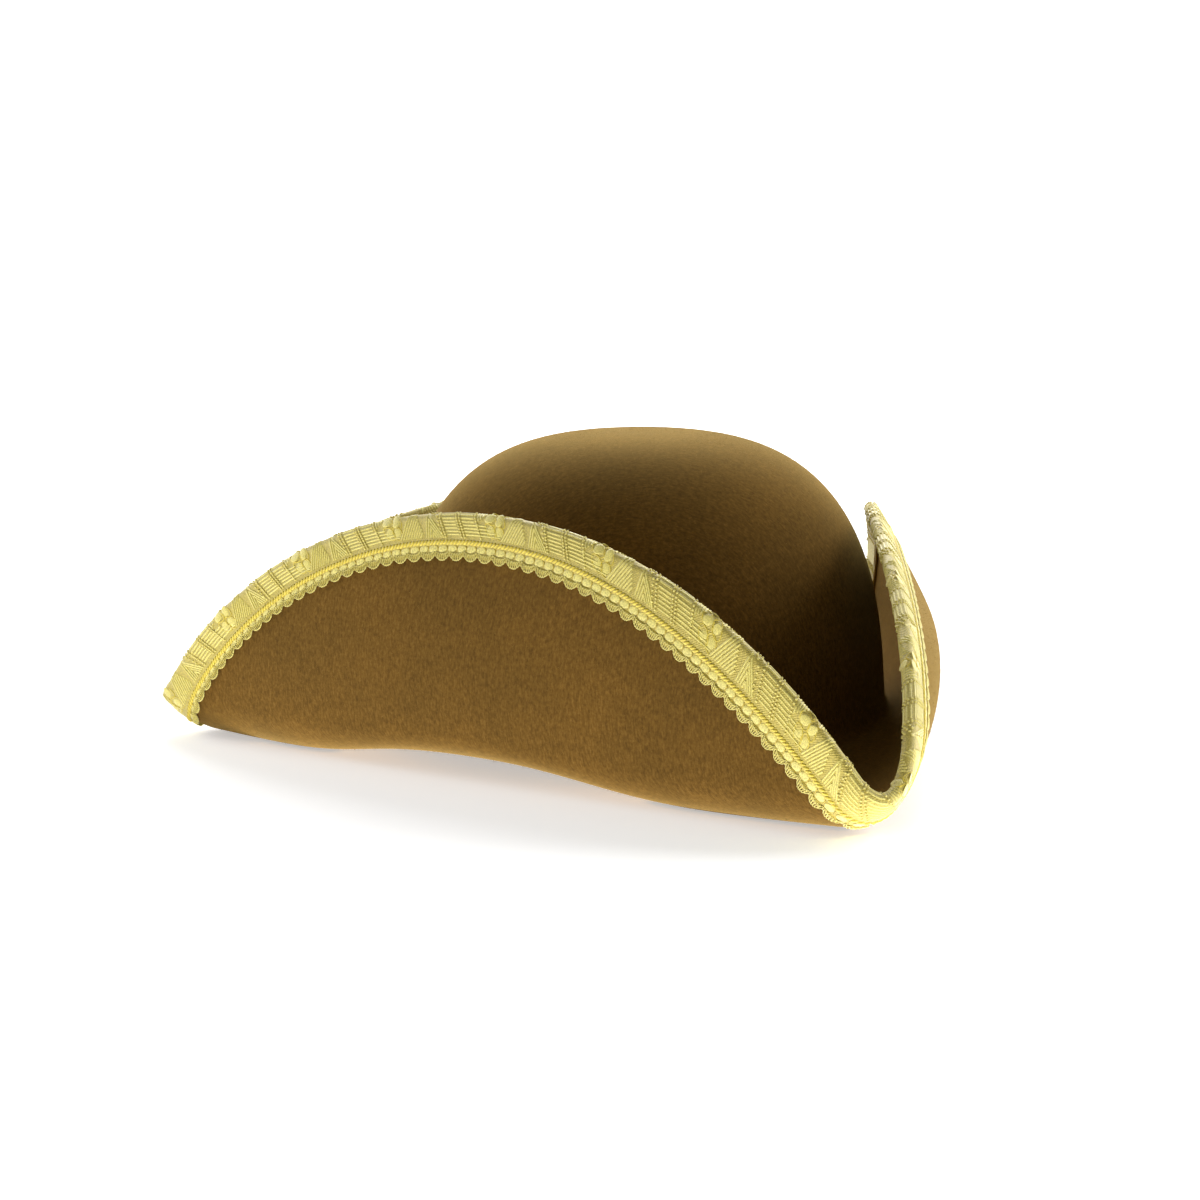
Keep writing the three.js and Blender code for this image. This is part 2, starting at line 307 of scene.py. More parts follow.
def fold_move(fold, flat):
    along = flat @ fold["along"]
    share = np.minimum(np.abs(along) / fold["half_length"], 1.1) ** 2
    slope = 2 * fold["bow"] * along / fold["half_length"] ** 2
    square = fold["across"] + slope[..., None] * fold["along"]
    length = np.linalg.norm(square, axis=-1)
    past = np.maximum(flat @ fold["across"] - fold["start"] + fold["bow"] * share, 0) / length
    square = square / length[..., None]
    radius = fold["bend_middle"] + (fold["bend_ends"] - fold["bend_middle"]) * np.minimum(share, 1)
    turn = fold["turn_middle"] + (fold["turn_ends"] - fold["turn_middle"]) * share
    bent = np.minimum(past, radius * turn)
    straight = past - bent
    curled = fold["curl"] * straight ** 2 / 2
    out = radius * np.sin(bent / radius) + straight * np.cos(turn) - curled * np.sin(turn)
    up = radius * (1 - np.cos(bent / radius)) + straight * np.sin(turn) + curled * np.cos(turn)
    return np.concatenate([square * (out - past)[..., None], up[..., None]], axis=-1)


def corner_lift(direction, flat):
    start = crown_reach(direction)
    share = (flat @ unit(direction) - start) / (brim_reach(direction) - start)
    return CORNER_RISE * np.maximum(share, 0) ** 2


def brim_move(flat, distance):
    move = sum(fold_move(fold, flat) for fold in folds)
    move[..., 2] += HALF_FELT + FOOT_RISE * np.exp(-((distance / FOOT_SPREAD) ** 2))
    move[..., 2] += sum(corner_lift(corner, flat) for corner in corners)
    return move


def brim_width(theta):
    return np.linalg.norm(brim_edge(theta) - crown_foot(theta), axis=-1)


def crown_point(theta, station):
    climb = (1 - station * (1 - FILLET_SHARE)) * (pi / 2)
    height = CROWN_TOP * np.sin(climb) ** (2 / CROWN_SQUARENESS)
    width = np.cos(climb) ** (2 / CROWN_SQUARENESS) * (1 - CROWN_TAPER * height / CROWN_TOP)
    foot = crown_foot(theta)
    follow = (CROWN_TOP - height) / (CROWN_TOP - CROWN_FILLET)
    move = brim_move(foot, np.zeros_like(theta))
    top = HALF_FELT + FOOT_RISE
    flat = foot * width[..., None] + move[..., :2] * follow[..., None]
    level = top + height + (move[..., 2] - top) * follow
    return np.concatenate([flat, level[..., None]], axis=-1)


def brim_point(theta, distance, height):
    foot = crown_foot(theta)
    outward = brim_edge(theta) - foot
    outward /= np.linalg.norm(outward, axis=-1)[..., None]
    flat = foot + outward * distance[..., None]
    point = brim_move(flat, distance)
    point[..., :2] += flat
    point[..., 2] += height
    return point


def sheet_point(theta, station):
    turn = np.clip(station - 1, 0, 1) * pi / 2
    past = np.maximum(station - 2, 0)
    distance = CROWN_FILLET * (1 - np.cos(turn)) + past * (brim_width(theta) - CROWN_FILLET)
    brim = brim_point(theta, distance, CROWN_FILLET * (1 - np.sin(turn)))
    crown = crown_point(theta, np.clip(station, 0, 1))
    return np.where((station < 1)[..., None], crown, brim)


# Point, direction towards the edge, and direction square to the sheet
def sheet_frame(theta, station):
    point = sheet_point(theta, station)
    out = sheet_point(theta, station + FRAME_STEP) - sheet_point(theta, station - FRAME_STEP)
    out /= np.linalg.norm(out, axis=-1)[..., None]
    around = sheet_point(theta + FRAME_STEP, station) - sheet_point(theta - FRAME_STEP, station)
    normal = np.cross(out, around)
    normal /= np.linalg.norm(normal, axis=-1)[..., None]
    return point, out, normal


# Mesh helpers
def link_piece(name, mesh):
    piece = bpy.data.objects.new(name, mesh)
    bpy.context.scene.collection.objects.link(piece)
    return piece


def mesh_piece(name, points, faces, material):
    mesh = bpy.data.meshes.new(name)
    mesh.from_pydata(points.tolist(), [], faces if isinstance(faces, list) else faces.tolist())
    mesh.shade_smooth()
    mesh.materials.append(material)
    return link_piece(name, mesh)


# Quads between rings of points. Where it is a closed tube the last ring joins the first.
def ring_faces(rings, columns, closed):
    a = np.arange(rings if closed else rings - 1)[:, None] * columns
    b = (a + columns) % (rings * columns)
    i = np.arange(columns)[None, :]
    j = (i + 1) % columns
    return np.stack([a + i, b + i, b + j, a + j], axis=-1).reshape(-1, 4)


# Felt
def felt_columns(count):
    even = np.arange(count) / count * 2 * pi
    return even + (CORNER_CROWDING / 3) * np.sin(3 * (even - pi / 2))


# The felt's two faces and rounded edge, and the move from the hat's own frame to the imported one
def felt_piece(material):
    theta = felt_columns(FELT_COLUMNS)
    stations = np.concatenate([
        np.arange(1, CROWN_ROWS + 1) / CROWN_ROWS,
        1 + np.arange(1, FILLET_ROWS + 1) / FILLET_ROWS,
        2 + np.arange(1, BRIM_ROWS + 1) / BRIM_ROWS,
    ])
    angles, rows = np.meshgrid(theta, stations)
    point, out, normal = sheet_frame(angles, rows)
    over = point + normal * HALF_FELT
    under = (point - normal * HALF_FELT)[::-1]
    rim = []
    for degrees in EDGE_TURNS:
        turn = radians(degrees)
        rim.append(point[-1] + (out[-1] * np.cos(turn) + normal[-1] * np.sin(turn)) * HALF_FELT)
    rest_level = under[..., 2].min() + REST_DEPTH
    under[..., 2] = np.maximum(under[..., 2], rest_level)
    rings = np.concatenate([over, np.array(rim), under])
    top = HALF_FELT + FOOT_RISE + CROWN_TOP
    poles = np.array([[0, 0, top + HALF_FELT], [0, 0, top - HALF_FELT]])
    points = np.concatenate([rings.reshape(-1, 3), poles])
    faces = ring_faces(len(rings), FELT_COLUMNS, False).tolist()
    last = (len(rings) - 1) * FELT_COLUMNS
    for i in range(FELT_COLUMNS):
        j = (i + 1) % FELT_COLUMNS
        faces.append([len(points) - 2, i, j])
        faces.append([len(points) - 1, last + j, last + i])
    low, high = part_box("felt_body")
    middle = (points.min(axis=0) + points.max(axis=0)) / 2
    packed_middle = (np.array(low) + np.array(high)) / 2
    place = np.array([packed_middle[0] - middle[0], packed_middle[1] - middle[1], -rest_level])
    piece = mesh_piece("felt_hat", points + place, faces, material)
    width = brim_width(theta)[None, :] - CROWN_FILLET
    inward = (3 - stations[:, None]) * width
    nap_over = inward > TURN_IN + FUZZ_GAP_INSIDE
    nap_under = (inward > LACE_EDGE + FUZZ_GAP_OUTSIDE)[::-1] & (under[..., 2] > rest_level + FUZZ_CLEARANCE)
    nap = np.concatenate([nap_over, np.zeros((len(rim), FELT_COLUMNS), bool), nap_under]).reshape(-1)
    nap = np.append(nap, [True, True]).astype(np.float32)
    attribute = piece.data.attributes.new("nap", "FLOAT", "POINT")
    attribute.data.foreach_set("value", nap)
    return piece, place


# Galloon. along runs round the brim's edge and across runs over it, from the inside (below 0) to the outside.
CAP_RADIUS = HALF_FELT + GALLOON_CLEARANCE + GALLOON_THICKNESS / 2
HALF_CAP = CAP_RADIUS * pi / 2
edge_theta = np.linspace(0, 2 * pi, EDGE_SAMPLES + 1)
edge_line = sheet_point(edge_theta, np.full(EDGE_SAMPLES + 1, 3.0))
edge_length = np.concatenate([[0], np.cumsum(np.linalg.norm(np.diff(edge_line, axis=0), axis=1))])
GALLOON_LENGTH = edge_length[-1]


def along_at(theta):
    return np.interp(theta % (2 * pi), edge_theta, edge_length)


LEFT_BACK = along_at(corners[0])


# Eases the table's steps so that the galloon runs without a kink
def eased_column(name):
    share = np.arange(EASE_STEPS) / EASE_STEPS
    rough = np.interp(share, [row["side"] for row in SHIFTS], [row[name] for row in SHIFTS])
    window = np.hanning(EASE_WINDOW)
    window /= window.sum()
    margin = EASE_WINDOW - 1
    round_again = np.concatenate([rough[-margin:], rough, rough[:margin]])
    eased = np.convolve(round_again, window, mode="same")[margin:-margin]
    return np.append(eased, eased[0])


shift_share = np.arange(EASE_STEPS + 1) / EASE_STEPS
shift_eased = eased_column("shift") * MM
lace_eased = eased_column("lace")


def lace_share(along):
    return np.interp(((along - LEFT_BACK) / GALLOON_LENGTH) % 1, shift_share, lace_eased)


# Point on the galloon's inner face, and the direction square to it
def galloon_frame(along, across):
    lace = lace_share(along)
    shift = np.interp(((along - LEFT_BACK) / GALLOON_LENGTH) % 1, shift_share, shift_eased)
    shift = shift + (LACE_END - CORD_ROW) * (1 - lace)
    past_cord = np.maximum(across - CORD_ROW, 0)
    across = across + shift * np.clip(across / CORD_ROW, 0, 1) - past_cord * (1 - lace)
    theta = np.interp(along % GALLOON_LENGTH, edge_length, edge_theta)
    inward = np.maximum(np.abs(across) - HALF_CAP, 0)
    station = 3 - inward / (brim_width(theta) - CROWN_FILLET)
    point, out, normal = sheet_frame(theta, station)
    turn = np.clip(across / CAP_RADIUS, -pi / 2, pi / 2)[..., None]
    up = out * np.cos(turn) - normal * np.sin(turn)
    return point + up * (HALF_FELT + GALLOON_CLEARANCE), up


# Small cross folds where the ribbon turns in round a corner of the hat
def gather_lift(along, across):
    lift = np.zeros(along.shape)
    for corner in corners:
        gap = (along - along_at(corner) + GALLOON_LENGTH / 2) % GALLOON_LENGTH - GALLOON_LENGTH / 2
        near = np.exp(-((gap / GATHER_REACH) ** 2))
        inside = 1 / (1 + np.exp((across + GATHER_START) / GATHER_EASE))
        drift = GATHER_DRIFT * np.sin(2 * pi * gap / GATHER_DRIFT_PITCH)
        wave = np.sin(2 * pi * gap / GATHER_PITCH + drift)
        lift += GATHER_HEIGHT * near * inside * (0.5 + 0.5 * wave)
    return lift


# A closed sheet: its outer face row by row, then its inner face back again in fewer rows
def ribbon_piece(place, material):
    along = np.arange(RIBBON_COLUMNS) / RIBBON_COLUMNS * GALLOON_LENGTH
    over = np.linspace(-TURN_IN, LACE_EDGE, RIBBON_ROWS)
    under = np.append(over[::-4], -TURN_IN)
    across = np.concatenate([over, under])
    s, w = np.meshgrid(along, across)
    lift = np.zeros(s.shape)
    lift[:len(over)] = GALLOON_THICKNESS + gather_lift(s, w)[:len(over)]
    lift[:len(over)] -= BORDER_SINK * np.clip((w[:len(over)] - CORD_ROW) / BORDER_SINK_WIDTH, 0, 1)
    point, up = galloon_frame(s, w)
    points = (point + up * lift[..., None]).reshape(-1, 3) + place
    faces = ring_faces(len(across), RIBBON_COLUMNS, True)
    piece = mesh_piece("galloon_ribbon", points, faces, material)
    column = faces % RIBBON_COLUMNS
    seam = (column == 0) & (column.max(axis=1, keepdims=True) == RIBBON_COLUMNS - 1)
    u = along[column] + np.where(seam, GALLOON_LENGTH, 0)
    v = across[faces // RIBBON_COLUMNS]
    layer = piece.data.uv_layers.new(name="weave")
    layer.uv.foreach_set("vector", np.stack([u, v], axis=-1).reshape(-1).astype(np.float32))
    return piece


# The woven figure, one repeat of it
REPEATS = len(LEFT_SIDE_WINDOWS) - 1 + OTHER_REPEATS
REPEAT = GALLOON_LENGTH / REPEATS / MM
LAST_WINDOW = LEFT_SIDE_WINDOWS[0] + GALLOON_LENGTH / MM
other_windows = np.linspace(LEFT_SIDE_WINDOWS[-1], LAST_WINDOW, OTHER_REPEATS + 1)
window_places = np.concatenate([LEFT_SIDE_WINDOWS[:-1], other_windows])


def straight_line(a, b, count):
    share = np.linspace(0, 1, count)[:, None]
    return np.array(a) * (1 - share) + np.array(b) * share


# Ribs between a window's bars. Those near the cord flare out past the last bar.
def window_lines():
    row = WINDOW
    lines = []
    side = row["half"] - row["bar_gap"]
    middle = row["middle_gap"]
    for rib in np.arange(FIGURE_TOP, FIGURE_FOOT, row["rib_pitch"]):
        end = side
        if rib > row["flare_start"]:
            end += row["flare_first"] + row["flare"] * (rib - row["flare_start"])
        lines.append(straight_line((-side, rib), (-middle, rib), row["points"]))
        lines.append(straight_line((middle, rib), (end, rib), row["points"]))
    return lines


def barb_lines():
    row = BARBS
    lines = []
    share = np.linspace(0, 1, row["points"])
    for k in range(row["count"]):
        foot = WINDOW["half"] + row["gap"] + THREAD_PITCH * k
        across = row["top"] + (row["length"] - row["shorter"] * k) * share
        lines.append(np.stack([foot + row["hook"] * (1 - share) ** 2, across], axis=-1))
    return lines


def petal_outlines():
    lines = []
    turn = np.linspace(0, 2 * pi, PETAL_OUTLINE_POINTS)
    for petal in PETALS:
        angle = radians(petal["turn"])
        length = (PETAL_LENGTH + PETAL_OUTLINE_GAP) * np.cos(turn)
        width = (PETAL_WIDTH + PETAL_OUTLINE_GAP) * np.sin(turn)
        along = petal["along"] + length * np.cos(angle) - width * np.sin(angle)
        across = petal["across"] + length * np.sin(angle) + width * np.cos(angle)
        lines.append(np.stack([along, across], axis=-1))
    return lines


def long_slants():
    row = LONG_SLANTS
    lines = []
    for k in range(row["count"]):
        foot = row["foot"] + THREAD_PITCH * k
        top = row["top"] + row["top_pitch"] * k
        end = foot + row["slope"] * (FIGURE_FOOT - top)
        lines.append(straight_line((foot, FIGURE_FOOT), (end, top), row["points"]))
    return lines


def top_slants():
    row = TOP_SLANTS
    lines = []
    for k in range(row["count"]):
        foot = row["foot"] + THREAD_PITCH * k
        start = row["start"] - row["dip"] * abs(k - row["middle"])
        lines.append(straight_line((foot, start), (foot - row["back"], FIGURE_TOP), row["points"]))
    return lines


def short_slants():
    row = SHORT_SLANTS
    lines = []
    for k in range(row["count"]):
        foot = row["foot"] + THREAD_PITCH * k
        start = row["start"] - row["step"] * k
        lines.append(straight_line((foot, start), (foot + row["ahead"], row["top"]), row["points"]))
    return lines


def chevron_lines():
    row = CHEVRONS
    lines = []
    for k in range(row["count"]):
        tip = row["tip"] + row["pitch"] * k
        reach = (FIGURE_FOOT - tip) * row["spread"]
        for foot in (row["middle"] - reach, row["middle"] + reach):
            lines.append(straight_line((row["middle"], tip), (foot, FIGURE_FOOT), row["points"]))
    return lines


def figure_beads():
    beads = []
    half = WINDOW["half"]
    inner = WINDOW["middle_bars"]
    for along in (-half, -inner, inner, half):
        beads += [(along, across) for across in np.arange(FIGURE_TOP, FIGURE_FOOT, WINDOW["bead_pitch"])]
    for row in range(LADDER["rows"]):
        along = LADDER["along"] + LADDER["row_pitch"] * row
        start = FIGURE_TOP + LADDER["start"] + LADDER["stagger"] * (row % 2)
        beads += [(along, start + LADDER["pitch"] * k) for k in range(LADDER["count"])]
    for k in range(LADDER_FOOT["count"]):
        beads.append((LADDER_FOOT["along"], LADDER_FOOT["start"] + LADDER_FOOT["pitch"] * k))
    return beads


# A carrier holds the places where something is repeated, with the directions it is turned to
def carrier_mesh(name, along, across, lift, lean=0.0, lines=()):
    step = 0.2 * MM
    point, up = galloon_frame(along, across)
    ahead = galloon_frame(along + step, across)[0] - galloon_frame(along - step, across)[0]
    ahead /= np.linalg.norm(ahead, axis=-1)[..., None]
    side = np.cross(up, ahead)
    lean = np.broadcast_to(lean, along.shape)[..., None]
    ahead = ahead * np.cos(lean) + side * np.sin(lean)
    mesh = bpy.data.meshes.new(name)
    edges = []
    start = 0
    for length in lines:
        edges += [(start + i, start + i + 1) for i in range(length - 1)]
        start += length
    mesh.from_pydata((point + up * lift + place).tolist(), edges, [])
    size = np.ones(point.shape)
    size[:, 1] = np.where(across > CORD_ROW, lace_share(along), 1)
    for label, vectors in (("ahead", ahead), ("up", up), ("size", size)):
        attribute = mesh.attributes.new(label, "FLOAT_VECTOR", "POINT")
        attribute.data.foreach_set("vector", vectors.reshape(-1).astype(np.float32))
    return mesh


# All repeats of a figure's spots, stretched to the windows and leaning along the galloon
def repeated(spots):
    spots = np.array(spots)
    stretch = np.diff(window_places)[:, None] / REPEAT
    along = window_places[:-1, None] + spots[None, :, 0] * stretch + FIGURE_LEAN * spots[None, :, 1]
    along = along * MM
    across = np.broadcast_to(spots[None, :, 1] * MM, along.shape)
    return along.reshape(-1), across.reshape(-1).copy()


# Geometry Nodes trees
def new_tree(name, inputs):
    tree = bpy.data.node_groups.new(name, "GeometryNodeTree")
    tree.interface.new_socket("Geometry", in_out="INPUT", socket_type="NodeSocketGeometry")
    for label, kind, default in inputs:
        socket = tree.interface.new_socket(label, in_out="INPUT", socket_type=kind)
        if default is not None:
            socket.default_value = default
    tree.interface.new_socket("Geometry", in_out="OUTPUT", socket_type="NodeSocketGeometry")
    return tree, tree.nodes.new("NodeGroupInput"), tree.nodes.new("NodeGroupOutput")


def named_vector(tree, label):
    node = tree.nodes.new("GeometryNodeInputNamedAttribute")
    node.data_type = "FLOAT_VECTOR"
    node.inputs["Name"].default_value = label
    return node.outputs["Attribute"]


def carrier_rotation(tree):
    first = tree.nodes.new("FunctionNodeAlignRotationToVector")
    first.axis = "Z"
    second = tree.nodes.new("FunctionNodeAlignRotationToVector")
    second.axis = "X"
    second.pivot_axis = "Z"
    tree.links.new(named_vector(tree, "up"), first.inputs["Vector"])
    tree.links.new(first.outputs["Rotation"], second.inputs["Rotation"])
    tree.links.new(named_vector(tree, "ahead"), second.inputs["Vector"])
    return second.outputs["Rotation"]


# The size given to the tree, narrowed across where the border is
def carrier_size(tree, group_in):
    node = tree.nodes.new("ShaderNodeVectorMath")
    node.operation = "MULTIPLY"
    tree.links.new(group_in.outputs["Size"], node.inputs[0])
    tree.links.new(named_vector(tree, "size"), node.inputs[1])
    return node.outputs[0]


# Puts a finish on the geometry and ends the tree
def end_tree(tree, geometry, group_in, group_out):
    real = tree.nodes.new("GeometryNodeRealizeInstances")
    smooth = tree.nodes.new("GeometryNodeSetShadeSmooth")
    finish = tree.nodes.new("GeometryNodeSetMaterial")
    tree.links.new(geometry, real.inputs["Geometry"])
    tree.links.new(real.outputs["Geometry"], smooth.inputs["Geometry"])
    tree.links.new(smooth.outputs["Geometry"], finish.inputs["Geometry"])
    tree.links.new(group_in.outputs["Finish"], finish.inputs["Material"])
    tree.links.new(finish.outputs["Geometry"], group_out.inputs["Geometry"])


# One rounded bead at each point of the carrier
def bead_tree():
    tree, group_in, group_out = new_tree("beads_on_points", [
        ("Size", "NodeSocketVector", (MM, MM, MM)),
        ("Segments", "NodeSocketInt", 8),
        ("Rings", "NodeSocketInt", 5),
        ("Finish", "NodeSocketMaterial", None),
    ])
    ball = tree.nodes.new("GeometryNodeMeshUVSphere")
    ball.inputs["Radius"].default_value = 1
    instance = tree.nodes.new("GeometryNodeInstanceOnPoints")
    tree.links.new(group_in.outputs["Segments"], ball.inputs["Segments"])
    tree.links.new(group_in.outputs["Rings"], ball.inputs["Rings"])
    tree.links.new(group_in.outputs["Geometry"], instance.inputs["Points"])
    tree.links.new(ball.outputs["Mesh"], instance.inputs["Instance"])
    tree.links.new(carrier_rotation(tree), instance.inputs["Rotation"])
    tree.links.new(carrier_size(tree, group_in), instance.inputs["Scale"])
    end_tree(tree, instance.outputs["Instances"], group_in, group_out)
    return tree


# One thread loop at each point of the carrier
def loop_tree():
    tree, group_in, group_out = new_tree("thread_loops_on_points", [
        ("Size", "NodeSocketVector", (MM, MM, MM)),
        ("Thread Radius", "NodeSocketFloat", 0.2 * MM),
        ("Finish", "NodeSocketMaterial", None),
    ])
    round_line = tree.nodes.new("GeometryNodeCurvePrimitiveCircle")
    round_line.inputs["Resolution"].default_value = 10
    round_line.inputs["Radius"].default_value = 1
    shape = tree.nodes.new("GeometryNodeTransform")
    profile = tree.nodes.new("GeometryNodeCurvePrimitiveCircle")
    profile.inputs["Resolution"].default_value = 4
    thread = tree.nodes.new("GeometryNodeCurveToMesh")
    instance = tree.nodes.new("GeometryNodeInstanceOnPoints")
    tree.links.new(round_line.outputs["Curve"], shape.inputs["Geometry"])
    tree.links.new(group_in.outputs["Size"], shape.inputs["Scale"])
    tree.links.new(shape.outputs["Geometry"], thread.inputs["Curve"])
    tree.links.new(group_in.outputs["Thread Radius"], profile.inputs["Radius"])
    tree.links.new(profile.outputs["Curve"], thread.inputs["Profile Curve"])
    tree.links.new(group_in.outputs["Geometry"], instance.inputs["Points"])
    tree.links.new(thread.outputs["Mesh"], instance.inputs["Instance"])
    tree.links.new(carrier_rotation(tree), instance.inputs["Rotation"])
    end_tree(tree, instance.outputs["Instances"], group_in, group_out)
    return tree


# A thread along each line of the carrier
def laid_tree():
    tree, group_in, group_out = new_tree("threads_along_lines", [
        ("Thread Radius", "NodeSocketFloat", 0.3 * MM),
        ("Sides", "NodeSocketInt", 5),
        ("Finish", "NodeSocketMaterial", None),
    ])
    curve = tree.nodes.new("GeometryNodeMeshToCurve")
    profile = tree.nodes.new("GeometryNodeCurvePrimitiveCircle")
    thread = tree.nodes.new("GeometryNodeCurveToMesh")
    thread.inputs["Fill Caps"].default_value = True
    tree.links.new(group_in.outputs["Geometry"], curve.inputs["Mesh"])
    tree.links.new(group_in.outputs["Sides"], profile.inputs["Resolution"])
    tree.links.new(group_in.outputs["Thread Radius"], profile.inputs["Radius"])
    tree.links.new(curve.outputs["Curve"], thread.inputs["Curve"])
    tree.links.new(profile.outputs["Curve"], thread.inputs["Profile Curve"])
    end_tree(tree, thread.outputs["Mesh"], group_in, group_out)
    return tree


# Short loose fibres that stand off the felt
def fuzz_tree():
    tree, group_in, group_out = new_tree("loose_fibres", [
        ("Density", "NodeSocketFloat", 1000.0),
        ("Fibre Radius", "NodeSocketFloat", 0.02 * MM),
        ("Fibre Length", "NodeSocketFloat", 1.0 * MM),
        ("Seed", "NodeSocketInt", 1),
        ("Finish", "NodeSocketMaterial", None),
    ])
    nap = tree.nodes.new("GeometryNodeInputNamedAttribute")
    nap.data_type = "FLOAT"
    nap.inputs["Name"].default_value = "nap"
    density = math_node(tree, "MULTIPLY", nap.outputs["Attribute"], group_in.outputs["Density"])
    scatter = tree.nodes.new("GeometryNodeDistributePointsOnFaces")
    tree.links.new(group_in.outputs["Geometry"], scatter.inputs["Mesh"])
    tree.links.new(density, scatter.inputs["Density"])
    tree.links.new(group_in.outputs["Seed"], scatter.inputs["Seed"])
    tip = tree.nodes.new("FunctionNodeRandomValue")
    tip.data_type = "FLOAT_VECTOR"
    tip.inputs["Min"].default_value = (-1, -1, -1)
    tip.inputs["Max"].default_value = (1, 1, 1)
    aim = tree.nodes.new("ShaderNodeVectorMath")
    tree.links.new(scatter.outputs["Normal"], aim.inputs[0])
    tree.links.new(tip.outputs[0], aim.inputs[1])
    turn = tree.nodes.new("FunctionNodeAlignRotationToVector")
    turn.axis = "Z"
    tree.links.new(aim.outputs[0], turn.inputs["Vector"])
    stretch = tree.nodes.new("FunctionNodeRandomValue")
    stretch.data_type = "FLOAT"
    limits = {each.name: each for each in stretch.inputs if each.type == "VALUE"}
    limits["Min"].default_value = FIBRE_SHORTEST
    limits["Max"].default_value = FIBRE_LONGEST
    fibre = tree.nodes.new("GeometryNodeMeshCone")
    fibre.inputs["Vertices"].default_value = 3
    fibre.inputs["Radius Top"].default_value = 0
    tree.links.new(group_in.outputs["Fibre Radius"], fibre.inputs["Radius Bottom"])
    tree.links.new(group_in.outputs["Fibre Length"], fibre.inputs["Depth"])
    instance = tree.nodes.new("GeometryNodeInstanceOnPoints")
    tree.links.new(scatter.outputs["Points"], instance.inputs["Points"])
    tree.links.new(fibre.outputs["Mesh"], instance.inputs["Instance"])
    tree.links.new(turn.outputs["Rotation"], instance.inputs["Rotation"])
    length = [each for each in stretch.outputs if each.type == "VALUE"][0]
    tree.links.new(length, instance.inputs["Scale"])
    end_tree(tree, instance.outputs["Instances"], group_in, group_out)
    return tree


# Grows a tree on a carrier and keeps the result as a plain mesh
def grown_piece(name, carrier, tree, values):
    grower = link_piece(name + "_carrier", carrier)
    modifier = grower.modifiers.new("grow", "NODES")
    modifier.node_group = tree
    for item in tree.interface.items_tree:
        if item.in_out == "INPUT" and item.name in values:
            modifier[item.identifier] = values[item.name]
    bpy.context.view_layer.update()
    grown = grower.evaluated_get(bpy.context.evaluated_depsgraph_get())
    mesh = bpy.data.meshes.new_from_object(grown)
    mesh.name = name
    bpy.data.objects.remove(grower)
    return link_piece(name, mesh)


# Materials
def new_material(name):
    material = bpy.data.materials.new(name)
    material.use_nodes = True
    return material, material.node_tree, material.node_tree.nodes["Principled BSDF"]


def ramp(tree, source, stops):
    node = tree.nodes.new("ShaderNodeValToRGB")
    elements = node.color_ramp.elements
    while len(elements) < len(stops):
        elements.new(0.5)
    for element, (position, colour) in zip(elements, stops):
        element.position = position
        element.color = (*colour, 1)
    tree.links.new(source, node.inputs["Fac"])
    return node.outputs["Color"]


def noise(tree, vector, scale, detail, rough):
    node = tree.nodes.new("ShaderNodeTexNoise")
    node.inputs["Scale"].default_value = scale
    node.inputs["Detail"].default_value = detail
    node.inputs["Roughness"].default_value = rough
    tree.links.new(vector, node.inputs["Vector"])
    return node.outputs["Fac"]


def math_node(tree, operation, a, b):
    node = tree.nodes.new("ShaderNodeMath")
    node.operation = operation
    for socket, value in zip(node.inputs, (a, b)):
        if hasattr(value, "is_output"):
            tree.links.new(value, socket)
        else:
            socket.default_value = value
    return node.outputs[0]


def multiply_colours(tree, a, b):
    node = tree.nodes.new("ShaderNodeMix")
    node.data_type = "RGBA"
    node.blend_type = "MULTIPLY"
    sockets = {(each.name, each.type): each for each in node.inputs}
    sockets["Factor", "VALUE"].default_value = 1
    tree.links.new(a, sockets["A", "RGBA"])
    tree.links.new(b, sockets["B", "RGBA"])
    return [each for each in node.outputs if each.type == "RGBA"][0]


def shader_group(name, inputs, outputs):
    tree = bpy.data.node_groups.new(name, "ShaderNodeTree")
    for label, kind, default in inputs:
        socket = tree.interface.new_socket(label, in_out="INPUT", socket_type=kind)
        if default is not None:
            socket.default_value = default
    for label, kind in outputs:
        tree.interface.new_socket(label, in_out="OUTPUT", socket_type=kind)
    return tree, tree.nodes.new("NodeGroupInput"), tree.nodes.new("NodeGroupOutput")


def add_bump(tree, shader, height, distance, strength):
    bump = tree.nodes.new("ShaderNodeBump")
    bump.inputs["Distance"].default_value = distance
    bump.inputs["Strength"].default_value = strength
    tree.links.new(height, bump.inputs["Height"])
    tree.links.new(bump.outputs["Normal"], shader.inputs["Normal"])


